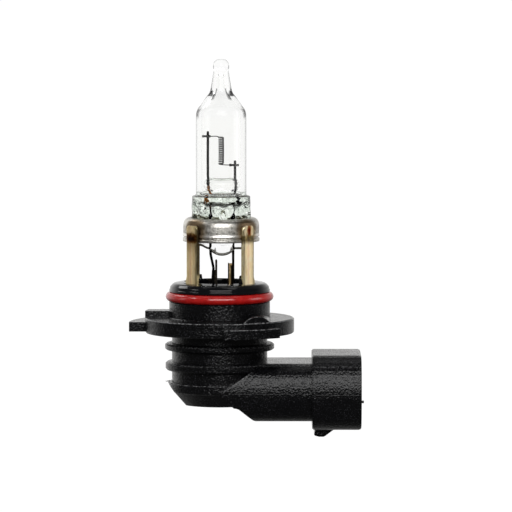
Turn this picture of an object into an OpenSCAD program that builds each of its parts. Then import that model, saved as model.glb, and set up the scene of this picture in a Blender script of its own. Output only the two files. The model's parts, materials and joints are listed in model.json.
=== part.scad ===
// Right-angle-cap headlight bulb, 20 mm class three-lug cap.
// Origin on the cap axis in the plane of the flange's upper face (the reference plane).
// +Z points to the glass tip, +X points along the plug socket. Millimetres.

/* [Glass burner] */
// Outer radius of the glass tube
tube_r = 4.75; // [4.4:0.05:5]
// Wall thickness of the tube
tube_wall = 1.05; // [0.8:0.05:1.2]
// Height where the straight tube ends and the shoulder begins
shoulder_z = 38.6; // [37:0.1:40]
// Height of the exhaust tip's top
tip_z = 48.7; // [47:0.1:50]
// Width of the press seal
pinch_w = 11.1; // [10:0.1:11.4]
// Thickness of the press seal
pinch_t = 4.4; // [3.6:0.1:4.6]
// Sideways offset of the burner after it is aligned and welded
burner_dx = 0.3; // [0:0.05:0.35]

/* [Filament] */
// Height of the coil's lower end
coil_z0 = 28.95; // [28:0.05:29.5]
// Length of the coil
coil_len = 5.15; // [4.8:0.05:5.4]
// Radius of the coil to the middle of its wire
coil_r = 0.42; // [0.35:0.01:0.5]
// Radius of the coil's wire
coil_wire_r = 0.1; // [0.07:0.01:0.12]
// Turns in the coil
coil_turns = 14; // [12:1:16]

/* [Leads] */
// Radius of each lead wire
lead_r = 0.21; // [0.18:0.01:0.25]
// Height of the long lead's upper end
long_lead_z = 35.1; // [34.8:0.1:36]
// Height of the short lead's upper end
short_lead_z = 29.6; // [29.3:0.1:30]

/* [Collar and legs] */
// Outer radius of the retaining collar's wall
collar_r = 7.15; // [6.9:0.05:7.2]
// Height of the collar's lower edge
collar_z0 = 14.5; // [14:0.1:15]
// Height of the collar's upper edge
collar_z1 = 18.9; // [18.5:0.1:19.2]
// Width of each support leg
leg_w = 3.0; // [2.6:0.1:3.2]
// Thickness of each support leg
leg_t = 0.5; // [0.4:0.05:0.5]
// Distance from the legs' axis to their inner faces
leg_r = 7.23; // [7.2:0.01:7.3]
// Sideways offset of the four legs
leg_dx = 0.15; // [0:0.05:0.15]

/* [Cap and seal] */
// Radius of the neck that enters the lamp
neck_r = 9.5; // [9.4:0.05:9.6]
// Height of the neck's top
neck_top = 3.1; // [3:0.05:3.2]
// Height of the cap insert's top ring
cap_top = 6.85; // [6.6:0.05:7]
// Radius of the O-ring's section
oring_section = 0.875; // [0.8:0.005:0.875]

/* [Flange] */
// Radius of the flange disc
flange_r = 14.05; // [13.9:0.05:14.2]
// Thickness of the flange disc
flange_t = 2.8; // [2.6:0.1:3]
// Radius over the locking lugs
lug_r = 17.1; // [16.9:0.05:17.2]

/* [Base body] */
// Radius of the round body under the flange
core_r = 9.0; // [8.8:0.05:9.1]
// Radius of the upper rib
rib1_r = 10.3; // [10:0.05:10.4]
// Radius of the lower rib
rib2_r = 10.2; // [10:0.05:10.4]
// Height of the body's flat underside
body_bottom = -16.3; // [-16.5:0.1:-16.2]

/* [Plug socket] */
// Height of the socket's axis
socket_z = -13.6; // [-13.7:0.05:-13.5]
// Distance from the cap axis to the back of the shroud
shroud_x0 = 17.4; // [17:0.1:18]
// Distance from the cap axis to the socket's mouth
shroud_x1 = 26.6; // [26:0.1:27]
// Half height of the shroud
shroud_h = 7.05; // [6.9:0.05:7.2]
// Half height of the socket's neck
arm_h = 5.45; // [5.3:0.05:5.5]
// Wall of the socket
socket_wall = 1.5; // [1.3:0.05:1.6]
// Width of each blade
blade_w = 2.8; // [2.6:0.1:2.8]
// Thickness of each blade
blade_t = 0.8; // [0.6:0.1:0.8]
// Distance from the socket's axis to each blade's middle
blade_y = 2.75; // [2.6:0.05:3]

/* [Hidden] */
$fn = 96;

groove_r = 8.4;                 // floor of the O-ring groove
spigot_r = 8.2;                 // the insert's plug in the housing
well_r = 6.5;                   // well in the insert's top
well_floor = 3.6;
left_x = -2.2;                  // long lead above the bridge
right_x = 2.93;                 // short lead above the bridge
clamp_y = -0.47;                // clamps are welded to the near side of the leads

// Route of the long lead: top, bridge, press seal, weld to the terminal, free end
long_path = [[left_x, 0, long_lead_z], [left_x, 0, 26.9], [-2.16, 0, 26.4], [-1.84, 0, 23.6], [-1.76, 0, 23.1],
    [-1.72, 0, 22.7], [-1.72, 0, 12.4], [-1.7, 0, 12.0], [-1.2, 0, 9.55], [-1.16, 0, 9.25], [-1.2, 0, 8.9],
    [-1.3, 0, 7.6], [-1.3, 0, 5.2]];
// Route of the short lead
short_path = [[right_x, 0, short_lead_z], [right_x, 0, 23.3], [2.9, 0, 22.9], [2.6, 0, 22.5], [2.56, 0, 22.2],
    [2.56, 0, 12.6], [2.56, 0, 8.0], [2.56, 0, 5.2]];

// ---------- helpers ----------

function unit(v) = v / norm(v);
function lerp(a, b, t) = a + (b - a) * t;

// Direction of a path at point i
function heading(p, i) = unit(p[min(i + 1, len(p) - 1)] - p[max(i - 1, 0)]);

// A round tube swept along points that stay near the XZ plane or turn about Z
module sweep(p, r, sides = 8) {
    n = len(p);
    ref = [0, 1, 0];
    pts = [for (i = [0:n - 1])
        let (t = heading(p, i), a = unit(cross(abs(t * ref) > 0.95 ? [0, 0, 1] : ref, t)), b = cross(t, a))
        for (k = [0:sides - 1]) p[i] + r * (cos(360 * k / sides) * a + sin(360 * k / sides) * b)];
    sidefaces = [for (i = [0:n - 2]) for (k = [0:sides - 1])
        let (k2 = (k + 1) % sides)
        each [[i * sides + k, (i + 1) * sides + k, i * sides + k2],
              [i * sides + k2, (i + 1) * sides + k, (i + 1) * sides + k2]]];
    cap0 = [[for (k = [0:sides - 1]) k]];
    cap1 = [[for (k = [sides - 1:-1:0]) (n - 1) * sides + k]];
    polyhedron(pts, concat(sidefaces, cap0, cap1));
}

// A straight round bar between two points
module bar(a, b, r) {
    d = b - a;
    l = norm(d);
    translate(a) rotate([0, acos(d[2] / l), atan2(d[1], d[0])]) cylinder(r = r, h = l);
}

// Half width of a round-sided section of radius R at height h
function chord(R, h) = sqrt(R * R - h * h);

// Outline of the socket: a circle of radius R cut flat at +-h, with its corners rounded by c
function corner_y(R, h, c) = sqrt((R - c) * (R - c) - (h - c) * (h - c));
function corner_a(R, h, c) = atan2(h - c, corner_y(R, h, c));
function oval_quarter(R, h, c) = concat(
    [for (i = [0:6]) let (a = corner_a(R, h, c) * i / 6) [R * cos(a), R * sin(a)]],
    [for (i = [1:7]) let (a = lerp(corner_a(R, h, c), 90, i / 7))
        [corner_y(R, h, c) + c * cos(a), h - c + c * sin(a)]]);
function rev(v) = [for (i = [len(v) - 1:-1:0]) v[i]];
function oval(R, h, c) = let (q = oval_quarter(R, h, c))
    concat(q, [for (p = rev(q)) [-p[0], p[1]]], [for (i = [1:len(q) - 1]) [-q[i][0], -q[i][1]]],
        [for (i = [len(q) - 1:-1:1]) [q[i][0], -q[i][1]]]);

// The oval extruded along +X from x0 to x1, centred on the socket's axis
module oval_bar(x0, x1, R, h, c) {
    translate([x0, 0, socket_z]) rotate([90, 0, 90]) linear_extrude(x1 - x0) polygon(oval(R, h, c));
}

// A sector of a ring from angle a0 to a1
module sector(r0, r1, z0, z1, a0, a1) {
    rotate([0, 0, a0]) translate([0, 0, z0])
        rotate_extrude(angle = a1 - a0) translate([r0, 0]) square([r1 - r0, z1 - z0]);
}

// ---------- burner ----------

// Blown tube with its exhaust tip, open at the bottom of the outline
module tube_outer() {
    rotate_extrude() polygon([[0, 23.5], [tube_r, 23.5], [tube_r, shoulder_z], [4.6, shoulder_z + 0.45],
        [4.3, shoulder_z + 0.8], [3.95, shoulder_z + 1.0], [2.65, 41.8], [2.3, 42.2], [2.1, 42.6], [1.92, 43.3],
        [1.42, 46.3], [1.44, 46.7], [1.53, 47.1], [1.5, 47.7], [1.3, 48.2], [0.85, 48.6], [0.5, tip_z],
        [0, tip_z]]);
}

module tube_inner() {
    r = tube_r - tube_wall;
    rotate_extrude() polygon([[0, 22.95], [r - 0.7, 22.95], [r - 0.2, 23.15], [r, 23.6], [r, shoulder_z],
        [r - 0.35, 39.2], [1.95, 41.2], [1.1, 42.4], [0.9, 43.1], [0.85, 45.3], [0.5, 45.8], [0, 45.85]]);
}

// Press seal: a flat slab with rounded edges, blended into the tube, with a lobe at the foot
module pinch_slab() {
    e = pinch_t / 2;
    // shoulders where the round tube was pressed flat
    hull() {
        translate([0, 0, 23.6]) cylinder(r = tube_r - 0.01, h = 0.01, $fn = 48);
        translate([0, 0, 22.3]) intersection() {
            cylinder(r = 5.35, h = 0.01, $fn = 48);
            translate([-6, -3.6, 0]) cube([12, 7.2, 1]);
        }
        translate([-(pinch_w / 2 - e), -e, 20.6]) cube([pinch_w - 2 * e, pinch_t, 0.01]);
        for (s = [-1, 1]) translate([s * (pinch_w / 2 - e), 0, 20.6]) cylinder(r = e, h = 0.01, $fn = 32);
    }
    // slab with rounded ends
    translate([-(pinch_w / 2 - e), -e, 12.9]) cube([pinch_w - 2 * e, pinch_t, 8]);
    for (s = [-1, 1]) translate([s * (pinch_w / 2 - e), 0, 12.9]) cylinder(r = e, h = 8);
    // exhaust lobe at the foot
    intersection() {
        translate([0, 1.5, 14.6]) rotate([90, 0, 0]) cylinder(r = 2.9, h = 3);
        translate([-4, -2, 11]) cube([8, 4, 3]);
    }
}

module glass_envelope() {
    color([0.9, 0.93, 0.93, 0.35])
    difference() {
        union() {
            translate([burner_dx, 0, 0]) tube_outer();
            translate([burner_dx, 0, 0]) pinch_slab();
        }
        translate([burner_dx, 0, 0]) tube_inner();
        bar([-1.72, 0, 8], [-1.72, 0, 22.7], lead_r + 0.03);
        bar([-1.72, 0, 22.6], [-1.84, 0, 23.6], lead_r + 0.08);
        bar([2.56, 0, 8], [2.56, 0, 22.3], lead_r + 0.03);
        bar([2.56, 0, 22.1], [right_x, 0, 23.2], lead_r + 0.12);
    }
}

module glass_bridge() {
    color([0.9, 0.93, 0.93, 0.5])
    difference() {
        union() {
            translate([-1.65, 0, 25]) rotate([0, 90, 0]) cylinder(r = 1.36, h = 4.1);
            translate([-1.65, 0, 25]) sphere(r = 1.36);
            translate([2.45, 0, 25]) sphere(r = 1.36);
        }
        bar([-2.24, 0, 27.1], [-1.76, 0, 22.9], lead_r + 0.06);
        bar([right_x, 0, 22], [right_x, 0, 28], lead_r + 0.03);
    }
}

// ---------- filament and leads ----------

coil_steps = 12;
coil_path = [for (i = [0:coil_turns * coil_steps])
    let (a = 180 + 360 * i / coil_steps)
    [burner_dx + coil_r * cos(a), coil_r * sin(a),
        coil_z0 + coil_wire_r + (coil_len - 2 * coil_wire_r) * i / (coil_turns * coil_steps)]];
upper_leg = [[burner_dx - coil_r - 0.2, -0.2, 34.1], [-0.9, clamp_y, 34.22], [-3.2, clamp_y, 34.22]];
lower_leg = [[3.6, clamp_y, 28.8], [1.5, clamp_y, 28.8], [0.75, -0.55, 28.85], [0.3, -0.62, 28.95],
    [-0.05, -0.45, 29.0]];

module filament() {
    color([0.55, 0.55, 0.56])
    sweep(concat(lower_leg, coil_path, upper_leg), coil_wire_r, 6);
}

module long_lead_wire() {
    color([0.16, 0.15, 0.15]) sweep(long_path, lead_r, 10);
}

module short_lead_wire() {
    color([0.16, 0.15, 0.15]) sweep(short_path, lead_r, 10);
}

// Crimp sleeve round a filament leg, lying across its lead
module clamp_sleeve(x0, x1, z) {
    difference() {
        translate([x0, clamp_y, z]) rotate([0, 90, 0]) cylinder(r = 0.25, h = x1 - x0);
        translate([x0 - 1, clamp_y, z]) rotate([0, 90, 0]) cylinder(r = coil_wire_r + 0.02, h = x1 - x0 + 2);
    }
}

module upper_filament_clamp() {
    color([0.2, 0.19, 0.19]) clamp_sleeve(-3.3, -1.65, 34.22);
}

module lower_filament_clamp() {
    color([0.2, 0.19, 0.19]) clamp_sleeve(1.8, 3.6, 28.8);
}

// ---------- collar, clip and legs ----------

module retaining_collar() {
    w = collar_r;
    color([0.62, 0.62, 0.6])
    translate([burner_dx, 0, 0]) rotate_extrude() polygon([
        [w + 0.05, collar_z0], [w + 0.1, collar_z0 + 0.1], [w + 0.1, 15.0], [w + 0.02, 15.12], [w - 0.15, 15.25],
        [w - 0.15, 15.4], [w, 15.5], [w, 17.6], [w - 0.08, 17.95], [w - 0.25, 18.3], [w - 0.5, 18.6],
        [w - 0.8, 18.8], [w - 1.02, collar_z1], [6.05, collar_z1], [6.05, 18.45], [6.3, 18.4], [6.5, 18.2],
        [6.65, 17.9], [6.7, 17.5], [6.7, 15.5], [6.6, 15.4], [6.6, 15.25], [6.7, 15.05], [6.75, collar_z0]]);
}

// Slotted plate in the collar, with two lips that grip the flats of the press seal
module pinch_clip() {
    e = pinch_t / 2;
    color([0.7, 0.68, 0.6])
    translate([burner_dx, 0, 0]) {
        difference() {
            translate([0, 0, 17.2]) cylinder(r = 6.66, h = 0.4);
            translate([-5.6, -e - 0.02, 16]) cube([11.2, pinch_t + 0.04, 3]);
        }
        for (s = [-1, 1]) translate([-3.6, s > 0 ? e + 0.02 : -e - 0.42, 15.2]) cube([7.2, 0.4, 2.1]);
        for (s = [-1, 1]) for (x = [-4.9, 3.7])
            translate([x, s > 0 ? e + 0.02 : -e - 0.42, 16.2]) cube([1.2, 0.4, 1.1]);
    }
}

// Outline of a leg: rounded head, straight strip, slightly flared foot
leg_head = 0.85;
leg_top = 17.7;
foot_w = leg_w + 0.7;
leg_side = concat([[foot_w / 2, 0.4], [foot_w / 2, 6.9], [foot_w / 2 - 0.1, 7.25], [leg_w / 2 + 0.06, 7.9], [leg_w / 2, 8.4]],
    [for (i = [0:8]) let (a = 90 * i / 8)
        [leg_w / 2 - leg_head + leg_head * cos(a), leg_top - leg_head + leg_head * sin(a)]]);

// One leg: the strip with a weld dimple and a hole that anchors its foot in the insert
module support_leg(a) {
    color([0.78, 0.68, 0.5])
    translate([leg_dx, 0, 0]) rotate([0, 0, a]) translate([leg_r, 0, 0]) {
        difference() {
            rotate([90, 0, 90]) linear_extrude(leg_t)
                polygon(concat(leg_side, [for (p = rev(leg_side)) [-p[0], p[1]]]));
            // anchoring hole under the cap's surface
            translate([-1, 0, 2.4]) rotate([0, 90, 0]) cylinder(r = 0.7, h = 3);
        }
        // weld dimple
        translate([leg_t - 0.02, 0, 16.2]) rotate([0, 90, 0]) cylinder(r = 0.6, h = 0.1);
    }
}

module support_leg_front_left() { support_leg(225); }
module support_leg_front_right() { support_leg(315); }
module support_leg_rear_left() { support_leg(135); }
module support_leg_rear_right() { support_leg(45); }

// ---------- cap insert, potting, O-ring ----------

module cap_insert() {
    color([0.05, 0.05, 0.06])
    difference() {
        rotate_extrude() polygon([
            [well_r, well_floor], [well_r, cap_top - 0.15], [well_r + 0.15, cap_top], [8.6, cap_top],
            [8.75, cap_top - 0.04], [9.3, cap_top - 0.75], [9.36, cap_top - 0.95], [9.36, 5.5], [9.42, 5.42],
            [9.5, 5.35], [9.5, 5.0], [9.4, 4.9], [groove_r, 4.9], [groove_r, neck_top], [spigot_r, neck_top],
            [spigot_r, -1.0], [6.4, -1.0], [6.4, 2.2], [0, 2.2], [0, well_floor]]);
        // slots for the four legs
        for (a = [45, 135, 225, 315])
            translate([leg_dx, 0, 0]) rotate([0, 0, a]) translate([leg_r - 0.04, -1.9, 0.3]) cube([leg_t + 0.08, 3.8, 9]);
        // slots for the terminals
        translate([-0.88, -0.65, 0]) cube([0.5, 1.3, 9]);
        translate([1.5, -0.65, 0]) cube([0.9, 1.3, 9]);
    }
}

module potting_seal() {
    color([0.03, 0.03, 0.03])
    difference() {
        translate([0, 0, well_floor]) cylinder(r = well_r - 0.03, h = 1.1);
        translate([-0.88, -0.65, 0]) cube([0.5, 1.3, 9]);
        translate([1.5, -0.65, 0]) cube([0.9, 1.3, 9]);
        translate([-1.3, 0, 0]) cylinder(r = 0.3, h = 9);
        translate([2.6, 0, 0]) cylinder(r = 0.3, h = 9);
    }
}

module o_ring() {
    color([0.75, 0.08, 0.08])
    rotate_extrude() translate([groove_r + 0.015 + oring_section, (neck_top + 4.9) / 2]) circle(r = oring_section, $fn = 48);
}

// ---------- base housing ----------

// Everything on the base that turns about the cap axis
module turned_body() {
    rotate_extrude() polygon([[0, body_bottom], [7.2, body_bottom], [7.35, body_bottom + 0.1], [9.4, -13.85],
        [9.62, -13.75], [9.7, -13.65], [9.7, -12.2], [9.6, -12.1], [core_r, -12.1], [core_r, -10.0],
        [rib2_r - 0.3, -9.8], [rib2_r, -9.5], [rib2_r, -8.55], [rib2_r - 0.3, -8.3], [core_r, -8.1],
        [core_r, -6.2], [rib1_r - 0.3, -6.0], [rib1_r, -5.75], [rib1_r, -5.05], [rib1_r - 0.3, -4.8],
        [core_r, -4.6], [core_r, -flange_t], [flange_r - 0.2, -flange_t], [flange_r, -flange_t + 0.2],
        [flange_r, -0.2], [flange_r - 0.2, 0], [neck_r + 0.15, 0], [neck_r, 0.15], [neck_r, neck_top - 0.1],
        [neck_r - 0.1, neck_top], [0, neck_top]]);
}

module lugs() {
    for (r = [[145, 180], [273.1, 311.4], [38, 70]]) difference() {
        sector(12, lug_r, -2.7, -0.9, r[0], r[1]);
    }
}

// Raised index block and half-round key on the flange
module flange_marks() {
    intersection() {
        translate([-15, 0, -0.5]) cube([8, 4.2, 1.7]);
        translate([0, 0, -1]) cylinder(r = flange_r, h = 4);
    }
    intersection() {
        translate([7.05, 0, -1.8]) rotate([90, 0, 0]) cylinder(r = 3.0, h = 13);
        translate([0, 0, -1]) cylinder(r = flange_r - 0.1, h = 4);
    }
}

// Side outline of the arm: mitred where it leaves the round body, stepped down under it
module arm_profile() {
    translate([0, 15, 0]) rotate([90, 0, 0]) linear_extrude(30) polygon([[0, -13.7], [8, -8.1], [8, -5],
        [shroud_x0 + 0.2, -5], [shroud_x0 + 0.2, -22], [7.6, -22], [7.3, -19.2], [6.8, -19.0], [6.3, -18.75],
        [4.2, -16.95], [3.6, -16.5], [3.1, -16.34], [2.7, body_bottom]]);
}

module latch_ramp() {
    translate([0, 2.6, 0]) rotate([90, 0, 0]) linear_extrude(5.2)
        polygon([[18.1, -20], [18.05, -20.7], [17.8, -22.0], [18.0, -22.15], [18.7, -22.35], [19.6, -22.35],
            [19.9, -22.2], [22.0, -20.65], [22.0, -20]]);
}

module base_outer() {
    difference() {
        turned_body();
        // slanted heel
        translate([0, 12, 0]) rotate([90, 0, 0]) linear_extrude(24)
            polygon([[-12, -12.2], [-9.75, -12.2], [-6.2, -16.35], [-5.8, -20], [-12, -20]]);
    }
    lugs();
    flange_marks();
    intersection() {
        oval_bar(-1, shroud_x0 + 0.1, 9.6, arm_h, 3.6);
        arm_profile();
    }
    // shroud with eased edges
    oval_bar(shroud_x0, shroud_x0 + 0.2, 11.0, shroud_h - 0.2, 4.8);
    oval_bar(shroud_x0 + 0.2, shroud_x1 - 0.35, 11.2, shroud_h, 5.0);
    oval_bar(shroud_x1 - 0.35, shroud_x1 - 0.12, 11.1, shroud_h - 0.1, 4.9);
    oval_bar(shroud_x1 - 0.12, shroud_x1, 10.95, shroud_h - 0.25, 4.75);
    latch_ramp();
    // small gate nub on the rim
    translate([shroud_x1 - 0.1, -10.3, -14.9]) rotate([0, 90, 0]) cylinder(r = 0.25, h = 0.5);
}

module base_housing() {
    h = socket_wall;
    color([0.06, 0.06, 0.06])
    difference() {
        base_outer();
        // seat of the insert, then the bore
        translate([0, 0, -1.0]) cylinder(r = spigot_r + 0.03, h = 6);
        translate([0, 0, -10.5]) cylinder(r = 7.4, h = 10);
        // chamber where the terminals turn
        translate([-3.2, -5.2, -14.7]) cube([8.8, 10.4, 5]);
        // slots for the blades through the inner wall
        for (s = [-1, 1]) translate([4, s * blade_y - blade_w / 2 - 0.05, -13.55 - blade_t / 2 - 0.05])
            cube([10, blade_w + 0.1, blade_t + 0.1]);
        // socket: deep pocket in the arm, wider mouth in the shroud
        oval_bar(12.6, shroud_x1 + 1, 9.6 - h, arm_h - h, 2.2);
        oval_bar(18.4, shroud_x1 + 1, 11.2 - h, shroud_h - h, 3.5);
        // eased lip inside the mouth
        oval_bar(shroud_x1 - 0.3, shroud_x1 + 1, 11.35 - h, shroud_h - h + 0.15, 3.65);
    }
}

// ---------- terminals ----------

// Stamped strip: post above the cap, shelf, drop and blade in the socket; s is the side
module terminal_strip(x, s) {
    y0 = s * blade_y - blade_w / 2;
    // shelf from the post to the drop
    translate([x, min(-0.6, y0), -6]) cube([0.4, max(0.6, y0 + blade_w) - min(-0.6, y0), 3]);
    // drop
    translate([x, y0, -13.55 - blade_t / 2]) cube([0.4, blade_w, 8]);
    // blade with a tapered end
    translate([0, 0, -13.55 - blade_t / 2]) linear_extrude(blade_t)
        polygon([[x, y0], [21.6, y0], [22.6, y0 + 0.6], [22.6, y0 + blade_w - 0.6], [21.6, y0 + blade_w], [x, y0 + blade_w]]);
}

module terminal_left() {
    color([0.45, 0.4, 0.32]) {
        translate([-0.83, -0.6, -5]) cube([0.4, 1.2, 15.2]);
        // narrowed head with a small hook
        translate([-0.83, -0.35, 10]) cube([0.4, 0.7, 0.75]);
        translate([-0.63, 0.35, 10.75]) rotate([90, 0, 0]) cylinder(r = 0.2, h = 0.7);
        translate([-0.83, -0.35, 10.75]) cube([0.2, 0.7, 0.1]);
        // wing that backs the welded wire
        translate([-1.35, 0.3, 4.75]) cube([0.6, 0.3, 4.2]);
        terminal_strip(-0.83, 1);
    }
}

module terminal_right() {
    color([0.7, 0.55, 0.3]) {
        // folded channel: back and two flanges
        translate([1.56, 0.25, -4]) cube([0.76, 0.35, 14.2]);
        translate([1.56, -0.6, -5]) cube([0.22, 1.2, 15.3]);
        translate([2.1, -0.6, -4]) cube([0.22, 1.2, 13.9]);
        translate([1.56, -0.6, -5]) cube([0.4, 1.2, 6]);
        terminal_strip(1.56, -1);
    }
}

glass_envelope();
glass_bridge();
filament();
long_lead_wire();
short_lead_wire();
upper_filament_clamp();
lower_filament_clamp();
retaining_collar();
pinch_clip();
support_leg_front_left();
support_leg_front_right();
support_leg_rear_left();
support_leg_rear_right();
cap_insert();
potting_seal();
o_ring();
base_housing();
terminal_left();
terminal_right();
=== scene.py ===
"""Looks of the right-angle-cap headlight bulb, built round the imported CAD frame. Lengths in the helpers are in mm."""
import math, json
import bpy, bmesh
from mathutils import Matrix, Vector, noise

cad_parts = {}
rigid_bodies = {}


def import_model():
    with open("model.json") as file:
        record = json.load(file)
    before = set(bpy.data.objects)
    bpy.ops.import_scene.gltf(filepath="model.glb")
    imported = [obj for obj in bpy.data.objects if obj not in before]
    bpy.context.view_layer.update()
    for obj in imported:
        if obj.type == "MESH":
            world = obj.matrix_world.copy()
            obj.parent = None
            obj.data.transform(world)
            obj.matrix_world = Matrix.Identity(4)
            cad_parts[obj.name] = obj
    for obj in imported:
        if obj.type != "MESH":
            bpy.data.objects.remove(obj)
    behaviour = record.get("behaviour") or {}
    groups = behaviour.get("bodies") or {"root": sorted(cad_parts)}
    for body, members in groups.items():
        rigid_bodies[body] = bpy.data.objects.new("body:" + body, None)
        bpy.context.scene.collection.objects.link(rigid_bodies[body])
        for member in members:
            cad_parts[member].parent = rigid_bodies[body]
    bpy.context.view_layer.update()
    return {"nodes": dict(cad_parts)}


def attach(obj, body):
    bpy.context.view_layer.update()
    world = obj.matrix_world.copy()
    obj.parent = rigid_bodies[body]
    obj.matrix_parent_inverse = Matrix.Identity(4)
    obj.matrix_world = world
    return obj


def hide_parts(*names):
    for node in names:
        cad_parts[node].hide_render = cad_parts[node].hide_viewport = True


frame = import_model()
NODES = frame["nodes"]
MM = 0.001
BX = 0.3          # the burner's sideways offset, mm
pi, cos, sin = math.pi, math.cos, math.sin


# ---------------------------------------------------------------- mesh helpers

def lerp(a, b, t):
    return a + (b - a) * t


def sstep(a, b, x):
    t = min(1.0, max(0.0, (x - a) / (b - a)))
    return t * t * (3 - 2 * t)


def chaikin(pts, n=2):
    """Rounds an open outline by cutting its corners, ends kept."""
    for _ in range(n):
        out = [pts[0]]
        for a, b in zip(pts, pts[1:]):
            out.append((lerp(a[0], b[0], .25), lerp(a[1], b[1], .25)))
            out.append((lerp(a[0], b[0], .75), lerp(a[1], b[1], .75)))
        out.append(pts[-1])
        pts = out
    return pts


def round_closed(pts, n=2, cut=.25):
    for _ in range(n):
        out = []
        for a, b in zip(pts, pts[1:] + pts[:1]):
            out.append((lerp(a[0], b[0], cut), lerp(a[1], b[1], cut)))
            out.append((lerp(a[0], b[0], 1 - cut), lerp(a[1], b[1], 1 - cut)))
        pts = out
    return pts


def fillet_closed(pts, r):
    """Rounds each corner of a closed outline with about radius r, keeping its flats."""
    out = []
    n = len(pts)
    for i in range(n):
        p0, p, p1 = Vector(pts[i - 1]), Vector(pts[i]), Vector(pts[(i + 1) % n])
        a, b = p0 - p, p1 - p
        la, lb = a.length, b.length
        if la < 1e-6 or lb < 1e-6:
            continue
        d = min(r, la * .42, lb * .42)
        s, e = p + a / la * d, p + b / lb * d
        for t in (0, .33, .67, 1):
            q = s * (1 - t) ** 2 + p * 2 * t * (1 - t) + e * t * t
            out.append((q.x, q.y))
    return out


def lathe(profile, n=128, cx=0.0, closed=True, wob=None):
    """Turns (r, z) points about the vertical through cx. wob(r, z, angle) may add to the radius."""
    verts, idx = [], []
    for r, z in profile:
        if r < 1e-6:
            idx.append([len(verts)] * n)
            verts.append((cx, 0, z))
        else:
            idx.append([len(verts) + i for i in range(n)])
            for i in range(n):
                a = 2 * pi * i / n
                rr = r + (wob(r, z, a) if wob else 0)
                verts.append((cx + rr * cos(a), rr * sin(a), z))
    faces = []
    m = len(profile)
    for j in range(m if closed else m - 1):
        a, b = idx[j], idx[(j + 1) % m]
        for i in range(n):
            k = (i + 1) % n
            q = []
            for v in (a[i], a[k], b[k], b[i]):
                if v not in q:
                    q.append(v)
            if len(q) > 2:
                faces.append(q)
    return verts, faces


def tube(path, radius, sides=12, caps=True):
    """A round tube along points. radius is a number or a function of (index, point)."""
    pts = [Vector(p) for p in path]
    n = len(pts)
    rad = radius if callable(radius) else (lambda i, p: radius)
    tang = []
    for i in range(n):
        t = pts[min(i + 1, n - 1)] - pts[max(i - 1, 0)]
        tang.append(t.normalized())
    ref = Vector((0, 1, 0)) if abs(tang[0].y) < .9 else Vector((0, 0, 1))
    u = tang[0].cross(ref).normalized()
    verts, faces = [], []
    for i in range(n):
        u = (u - tang[i] * u.dot(tang[i])).normalized()
        w = tang[i].cross(u)
        r = rad(i, pts[i])
        for k in range(sides):
            a = 2 * pi * k / sides
            verts.append(tuple(pts[i] + u * (r * cos(a)) + w * (r * sin(a))))
    for i in range(n - 1):
        for k in range(sides):
            k2 = (k + 1) % sides
            faces.append([i * sides + k, i * sides + k2, (i + 1) * sides + k2, (i + 1) * sides + k])
    if caps:
        for end, ring in ((0, 0), (n - 1, (n - 1) * sides)):
            c = len(verts)
            verts.append(tuple(pts[end] + tang[end] * (-.35 if end == 0 else .35) * rad(end, pts[end])))
            for k in range(sides):
                faces.append([ring + k, ring + (k + 1) % sides, c])
    return verts, faces


def smooth_path(pts, per=6):
    """Catmull-Rom through the points."""
    P = [Vector(p) for p in pts]
    out = []
    for i in range(len(P) - 1):
        p0, p1, p2, p3 = P[max(i - 1, 0)], P[i], P[i + 1], P[min(i + 2, len(P) - 1)]
        for k in range(per):
            t = k / per
            out.append(.5 * ((2 * p1) + (p2 - p0) * t + (2 * p0 - 5 * p1 + 4 * p2 - p3) * t * t
                             + (3 * p1 - p0 - 3 * p2 + p3) * t ** 3))
    out.append(P[-1])
    return out


def join(*parts):
    verts, faces = [], []
    for v, f in parts:
        base = len(verts)
        verts += list(v)
        faces += [[i + base for i in q] for q in f]
    return verts, faces


def build(name, geo, material, replaces=(), angle=38, merge=0.0, recalc=True):
    verts, faces = geo
    me = bpy.data.meshes.new(name)
    me.from_pydata([(x * MM, y * MM, z * MM) for x, y, z in verts], [], faces)
    bm = bmesh.new()
    bm.from_mesh(me)
    if merge:
        bmesh.ops.remove_doubles(bm, verts=bm.verts, dist=merge * MM)
    bmesh.ops.dissolve_degenerate(bm, edges=bm.edges, dist=1e-7)
    if recalc:
        bmesh.ops.recalc_face_normals(bm, faces=bm.faces)
    bm.to_mesh(me)
    bm.free()
    return finish_obj(name, me, material, replaces, angle)


def finish_obj(name, me, material, replaces=(), angle=38):
    me.name = name
    me.materials.clear()
    me.materials.append(material)
    me.polygons.foreach_set("use_smooth", [True] * len(me.polygons))
    me.set_sharp_from_angle(angle=math.radians(angle))
    ob = bpy.data.objects.new(name, me)
    bpy.context.scene.collection.objects.link(ob)
    if replaces:
        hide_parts(*replaces)
    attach(ob, "root")
    return ob


# ---------------------------------------------------------------- material helpers

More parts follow.
